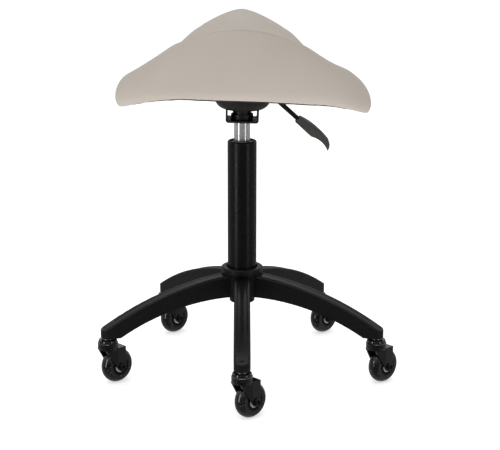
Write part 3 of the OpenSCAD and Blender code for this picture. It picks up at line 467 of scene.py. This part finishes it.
def flap_z(x):
    """Height of the upholstery where it is folded under the shell."""
    return shell_z(x) - SOFT_GAP - SKIN_T


def ridge(y):
    """Height of the seat's middle line: crest, valley and horn."""
    rear = y < VALLEY_Y
    u = (y - VALLEY_Y) / ((CREST_Y if rear else HORN_Y) - VALLEY_Y)
    top = CREST_H if rear else HORN_H
    return VALLEY_H + (top - VALLEY_H) * (1 - math.cos(math.pi * min(RIDGE_END_SHARE, u))) / 2


def top_z(p):
    """Height of the top, falling to both sides of its middle line."""
    out = abs(p.x) / along(p.y, CREST_SPREAD, HORN_SPREAD)
    bell = math.exp(-(out ** along(p.y, CREST_POWER, HORN_POWER)) / 2)
    return PLATE_Z + SIDE_BASE_H + (ridge(p.y) - SIDE_BASE_H) * bell


def drawn_in(p, d):
    """Point p moved by d toward the seat's centre."""
    c = Vector((0, CENTRE_Y))
    v = p - c
    return c + v * (v.length - d) / v.length


def leaned(x, y, z):
    """A point of the upright seat, in metres, on the leaning mechanism."""
    a = math.radians(LEAN)
    z -= LEAN_Z
    return Vector((x * math.cos(a) + z * math.sin(a), y,
                   LEAN_Z - x * math.sin(a) + z * math.cos(a))) * MM


def skewed(p, z):
    """A point of the upholstery, in metres, which stands skew on its shell."""
    return leaned(p.x - (z - PLATE_Z) * math.tan(math.radians(CREST_SKEW)), p.y, z)


def even_point(a, u, d):
    """Point of the upholstery as it is drawn, without its unevenness."""
    p = outline(a)
    if u < 0:
        q = drawn_in(p, HEM_TUCK * (1 - math.cos(math.radians(HEM_ANGLE))) - u * FLAP_W + d / 2)
        return skewed(q, flap_z(q.x) + d)
    if u <= 1:
        t = math.radians(HEM_ANGLE + (90 - HEM_ANGLE) * u)
        tuck = HEM_TUCK if t < 0 else CREST_INSET
        q = drawn_in(p, tuck * (1 - math.cos(t)) + d * math.cos(t))
        belly = flap_z(p.x) + BELLY_H
        if t < 0:
            return skewed(q, belly + BELLY_H * math.sin(t) / -math.sin(math.radians(HEM_ANGLE)))
        return skewed(q, belly + (top_z(q) - belly - d) * math.sin(t))
    c = Vector((0, CENTRE_Y))
    q = c + (drawn_in(p, CREST_INSET) - c) * (2 - u)
    return skewed(q, top_z(q) - d)


def uneven(x, u):
    """Rise of the upholstery above its even form."""
    crown = sum(h * math.exp(-(((x - at) / w) ** 2)) for at, w, h in CROWN_UNEVEN)
    hem = sum(h * math.exp(-(((x - at) / w) ** 2)) for at, w, h in HEM_UNEVEN)
    return crown * eased(u, *CROWN_BAND) + hem * (1 - eased(abs(u), *HEM_BAND))


def seat_point(a, u, d=0.0):
    """Point of the upholstery at azimuth a. u runs from -1 at the flap's inner edge over 0 at the
    hem and 1 at the crest to 2 at the middle. d is the depth below the surface."""
    point = even_point(a, u, d)
    point.z += uneven(point.x / MM, u) * MM
    return point


def seam_u(a):
    """The seam follows the rear crest, moves in over the wings and goes down round the horn."""
    off = abs((math.degrees(a) + 270) % 360 - 180)
    for (a0, u0), (a1, u1) in zip(SEAM_ROUTE, SEAM_ROUTE[1:]):
        if off <= a1:
            return u0 + (u1 - u0) * eased(off, a0, a1)
    return SEAM_ROUTE[-1][1]


# Cushion, sewing and cloth


def piece(name, verts, faces, material, body):
    """A smooth mesh that rides on a body."""
    mesh = bpy.data.meshes.new(name)
    mesh.from_pydata(verts, [], faces)
    mesh.validate()
    mesh.polygons.foreach_set("use_smooth", [True] * len(mesh.polygons))
    mesh.materials.append(material)
    obj = bpy.data.objects.new(name, mesh)
    bpy.context.collection.objects.link(obj)
    bm = bmesh.new()
    bm.from_mesh(mesh)
    bmesh.ops.recalc_face_normals(bm, faces=bm.faces)
    bm.to_mesh(mesh)
    bm.free()
    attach(obj, body)
    return obj


def seat_rows(a):
    """Heights and depths of one column of the upholstery, from the flap to the middle."""
    seam = seam_u(a)
    low, high = seam - SEAM_HALF_U, seam + SEAM_HALF_U
    rows = [(u, 0) for u in FLAP_ROWS] + [(u * low, 0) for u in SIDE_ROWS]
    rows += [(low, 0), (seam, GROOVE), (high, 0)]
    return rows + [(high + (2 - high) * u, 0) for u in TOP_ROWS]


def seat_mesh():
    """Closed form of the cushion before it swells, with the weight that pins each point."""
    verts, pins = [], []
    for i in range(AROUND):
        a = 2 * math.pi * i / AROUND
        rows = seat_rows(a)
        for u, depth in rows:
            verts.append(seat_point(a, u, depth))
            pins.append(1.0 if u <= 0 or depth > 0 else 0.0)
    n, total = len(rows), len(verts)
    faces = []
    for i in range(AROUND):
        a, b = i * n, (i + 1) % AROUND * n
        faces += [(a + j, b + j, b + j + 1, a + j + 1) for j in range(n - 1)]
        faces.append((a + n - 1, b + n - 1, total))
        faces.append((b, a, total + 1))
    verts.append(seat_point(0, 2))
    verts.append(leaned(0, CENTRE_Y, PLATE_Z - CAP_DROP))
    pins += [0.0, 1.0]
    return verts, faces, pins


def swollen(obj, pins):
    """Lets air pressure fill the cushion against its pinned seams, within a cap."""
    rest = [v.co.copy() for v in obj.data.vertices]
    group = obj.vertex_groups.new(name="pins")
    for i, w in enumerate(pins):
        group.add([i], w, "REPLACE")
    cloth = obj.modifiers.new("cloth", "CLOTH")
    for key, value in SWELL_CLOTH.items():
        setattr(cloth.settings, key, value)
    cloth.settings.effector_weights.gravity = 0
    for f in range(1, SWELL_FRAMES + 1):
        bpy.context.scene.frame_set(f)
    shape = obj.evaluated_get(bpy.context.evaluated_depsgraph_get()).data
    moved = [v.co.copy() for v in shape.vertices]
    obj.modifiers.remove(cloth)
    bpy.context.scene.frame_set(1)
    for v, a, b in zip(obj.data.vertices, rest, moved):
        d = b - a
        v.co = a + d * min(1, SWELL_CAP * MM / max(d.length, TINY))


def without_last_point(mesh):
    """Opens the mesh where its last point closes it."""
    bm = bmesh.new()
    bm.from_mesh(mesh)
    bm.verts.ensure_lookup_table()
    bmesh.ops.delete(bm, geom=[bm.verts[-1]], context="VERTS")
    bm.to_mesh(mesh)
    bm.free()


def thickened(obj, thickness, offset):
    skin = obj.modifiers.new("skin", "SOLIDIFY")
    skin.thickness = thickness * MM
    skin.offset = offset


def seat(looks):
    """The cushion, open below where the shell is."""
    verts, faces, pins = seat_mesh()
    obj = piece("seat_upholstery", verts, faces, looks["upholstery"], "seat")
    swollen(obj, pins)
    without_last_point(obj.data)
    thickened(obj, SKIN_T, -1)
    sub = obj.modifiers.new("smooth", "SUBSURF")
    sub.levels = sub.render_levels = 1
    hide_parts("seat_cover", "rear_panel", "seat_foam")


def capsule(verts, faces, a, b, r):
    """Adds a short round-ended thread from a to b."""
    axis = (b - a).normalized()
    side = axis.orthogonal().normalized()
    up = axis.cross(side)
    base = len(verts)
    for t, k in THREAD_RINGS:
        for s in range(THREAD_SIDES):
            w = 2 * math.pi * s / THREAD_SIDES
            verts.append(a.lerp(b, t) + (side * math.cos(w) + up * math.sin(w)) * r * k)
    last = base + (len(THREAD_RINGS) - 1) * THREAD_SIDES
    for ring in range(base, last, THREAD_SIDES):
        for s in range(THREAD_SIDES):
            p, q = ring + s, ring + (s + 1) % THREAD_SIDES
            faces.append((p, q, q + THREAD_SIDES, p + THREAD_SIDES))
    faces.append(tuple(base + s for s in reversed(range(THREAD_SIDES))))
    faces.append(tuple(last + s for s in range(THREAD_SIDES)))


def seam_thread():
    """Stitches laid in the groove of the seam."""
    verts, faces = [], []
    last = seat_point(0, seam_u(0), GROOVE)
    start, run = None, 0.0
    for k in range(1, SEAM_STEPS + 1):
        a = 2 * math.pi * k / SEAM_STEPS
        p = seat_point(a, seam_u(a), GROOVE - THREAD_R)
        run += (p - last).length
        last = p
        if start is None and run >= STITCH_GAP * MM:
            start, run = p, 0.0
        elif start is not None and run >= STITCH * MM:
            capsule(verts, faces, start, p, THREAD_R * MM)
            start, run = None, 0.0
    piece("seam_thread", verts, faces, thread(), "seat")


def hem_dark_band(looks):
    """Thin dark band that shows just below the hem, a little uneven."""
    steps, sides, turn = HEM_DARK_STEPS, HEM_DARK_SIDES, HEM_DARK_TURN
    wobble = random.Random(HEM_DARK_SEED)
    waves = [(f, wobble.uniform(0, 2 * math.pi)) for f in HEM_DARK_WAVES]
    verts, faces = [], []
    for k in range(steps):
        a = 2 * math.pi * k / steps
        drop = HEM_DARK_DROP + sum(math.sin(f * a + ph) for f, ph in waves) / HEM_DARK_CALM
        centre = seat_point(a, HEM_DARK_U) + Vector((0, 0, -drop * MM))
        hem = seat_point(a + turn, HEM_DARK_U) - seat_point(a - turn, HEM_DARK_U)
        out = hem.normalized().cross(Vector((0, 0, 1))).normalized()
        for i in range(sides):
            w = 2 * math.pi * i / sides
            ring = out * math.cos(w) * HEM_DARK_WIDE + Vector((0, 0, math.sin(w)))
            verts.append(centre + ring * HEM_DARK_R * MM)
    for k in range(steps):
        for i in range(sides):
            a, b = k * sides, (k + 1) % steps * sides
            j = (i + 1) % sides
            faces.append((a + i, a + j, b + j, b + i))
    piece("hem_dark_band", verts, faces, looks["dust_fabric"], "seat")


def cloth_point(a, t, depth=CLOTH_DEPTH):
    """Point of the cloth under the seat, from its hole at t = 0 to its edge at t = 1."""
    edge = drawn_in(outline(a), CLOTH_INSET)
    hole = edge.normalized() * CLOTH_HOLE_R
    p = hole.lerp(edge, t)
    pucker = (0.5 - 0.5 * math.cos(STAPLES * a)) * math.exp((t - 1) * PUCKER_FADE) * PUCKER
    sag = CLOTH_SAG * math.sin(math.pi * min(1, t * CLOTH_SAG_REACH)) ** 2 + pucker
    return leaned(p.x, p.y, shell_z(p.x) - depth - sag)


def under_cloth(looks):
    """Black cloth stapled under the seat, sagging a little between its staples."""
    columns, rings = STAPLES * COLUMNS_A_STAPLE, CLOTH_RINGS
    verts = [cloth_point(2 * math.pi * i / columns, j / rings)
             for i in range(columns) for j in range(rings + 1)]
    faces = []
    for i in range(columns):
        a, b = i * (rings + 1), (i + 1) % columns * (rings + 1)
        faces += [(a + j, a + j + 1, b + j + 1, b + j) for j in range(rings)]
    cloth = piece("under_cloth", verts, faces, looks["dust_fabric"], "seat")
    thickened(cloth, CLOTH_T, 0)
    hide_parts("dust_cloth")


def staples(looks):
    """Staples along the cloth's edge, each a back with two legs that go up into the shell."""
    verts, faces = [], []
    leg, r = Vector((0, 0, STAPLE_LEG * MM)), STAPLE_R * MM
    for k in range(STAPLES):
        a = 2 * math.pi * k / STAPLES
        at = cloth_point(a, STAPLE_PLACE, CLOTH_DEPTH + STAPLE_PROUD)
        lie = (cloth_point(a + STAPLE_TURN, STAPLE_PLACE)
               - cloth_point(a - STAPLE_TURN, STAPLE_PLACE)).normalized()
        half = lie * STAPLE_L / 2 * MM
        capsule(verts, faces, at - half, at + half, r)
        for end in (-half, half):
            capsule(verts, faces, at + end, at + end * STAPLE_BEND + leg, r)
    piece("staples", verts, faces, looks["zinc_steel"], "seat")


# Studio


def camera():
    """The photograph's view, from behind and a little above."""
    data = bpy.data.cameras.new("camera")
    data.sensor_width = SENSOR_W
    data.lens = LENS
    data.shift_x = (PHOTO_W / 2 - AXIS_PX) / PHOTO_W
    data.clip_end = CLIP_END
    cam = bpy.data.objects.new("camera", data)
    cam.location = (0, -CAMERA_BACK, CAMERA_Z)
    cam.rotation_euler = (math.radians(90 - CAMERA_PITCH), 0, 0)
    bpy.context.collection.objects.link(cam)
    bpy.context.scene.camera = cam


def studio_light(name, at, aim, size, power):
    """A rectangular lamp turned toward its aim."""
    data = bpy.data.lights.new(name, "AREA")
    data.shape = "RECTANGLE"
    data.size, data.size_y = size
    data.energy = power
    light = bpy.data.objects.new(name, data)
    light.location = at
    light.rotation_euler = (Vector(aim) - Vector(at)).to_track_quat("-Z", "Y").to_euler()
    bpy.context.collection.objects.link(light)


def sky():
    """White surroundings, brighter overhead and in front of the stool, dim at the camera's side."""
    world = bpy.data.worlds.new("world")
    bpy.context.scene.world = world
    world.use_nodes = True
    tree = world.node_tree
    parts = tree.nodes.new("ShaderNodeSeparateXYZ")
    place = tree.nodes.new("ShaderNodeTexCoord")
    tree.links.new(place.outputs["Generated"], parts.inputs["Vector"])
    total = tree.nodes.new("ShaderNodeMath")
    for k, (axis, *values) in enumerate(SKY):
        part = tree.nodes.new("ShaderNodeMapRange")
        for key, value in zip(("From Min", "From Max", "To Min", "To Max"), values):
            part.inputs[key].default_value = value
        tree.links.new(parts.outputs[axis], part.inputs["Value"])
        tree.links.new(part.outputs["Result"], total.inputs[k])
    back = tree.nodes["Background"]
    back.inputs["Color"].default_value = WHITE
    tree.links.new(total.outputs["Value"], back.inputs["Strength"])


def stage_piece(name, mesh, pale):
    """Puts a plain piece of the room in the scene, in the material of the Shader pale."""
    mesh.materials.append(pale.material)
    obj = bpy.data.objects.new(name, mesh)
    bpy.context.collection.objects.link(obj)
    return obj


def floor():
    """Pale floor that the stool's glossy pieces don't mirror."""
    bm = bmesh.new()
    bmesh.ops.create_grid(bm, x_segments=FLOOR_CELLS, y_segments=FLOOR_CELLS, size=FLOOR_HALF)
    mesh = bpy.data.meshes.new("floor")
    bm.to_mesh(mesh)
    bm.free()
    s = Shader("floor", 0.8, Specular_IOR_Level=0.1, Emission_Color=WHITE,
               Emission_Strength=FLOOR_GLOW)
    clouds = s.ranged(s.noise(900), EVEN)
    s.colour(s.mix(clouds, lin(252, 252, 252), lin(254, 254, 254)))
    stage_piece("floor", mesh, s).visible_glossy = False


def backdrop():
    """White surround for the low views. Only the camera sees it, so it lights nothing."""
    turn = [2 * math.pi * i / WALL_SIDES for i in range(WALL_SIDES)]
    verts = [(WALL_R * math.cos(a), WALL_R * math.sin(a), z) for z in WALL_Z for a in turn]
    faces = [(i, (i + 1) % WALL_SIDES, (i + 1) % WALL_SIDES + WALL_SIDES, i + WALL_SIDES)
             for i in range(WALL_SIDES)]
    mesh = bpy.data.meshes.new("backdrop")
    mesh.from_pydata(verts, [], faces)
    s = Shader("backdrop", 0.9, Specular_IOR_Level=0, Emission_Color=WHITE, Emission_Strength=1)
    s.colour(s.mix(s.noise(4000), lin(250, 250, 250), lin(254, 254, 254)))
    wall = stage_piece("backdrop", mesh, s)
    for ray in ("diffuse", "glossy", "transmission", "volume_scatter", "shadow"):
        setattr(wall, "visible_" + ray, False)


def room():
    """Pale floor under soft studio light."""
    floor()
    backdrop()
    sky()
    for light in LIGHTS:
        studio_light(*light)
    bpy.context.scene.view_settings.view_transform = "Standard"


camera()
room()
LOOKS = finishes()
dress(LOOKS)
seat(LOOKS)
seam_thread()
hem_dark_band(LOOKS)
under_cloth(LOOKS)
staples(LOOKS)
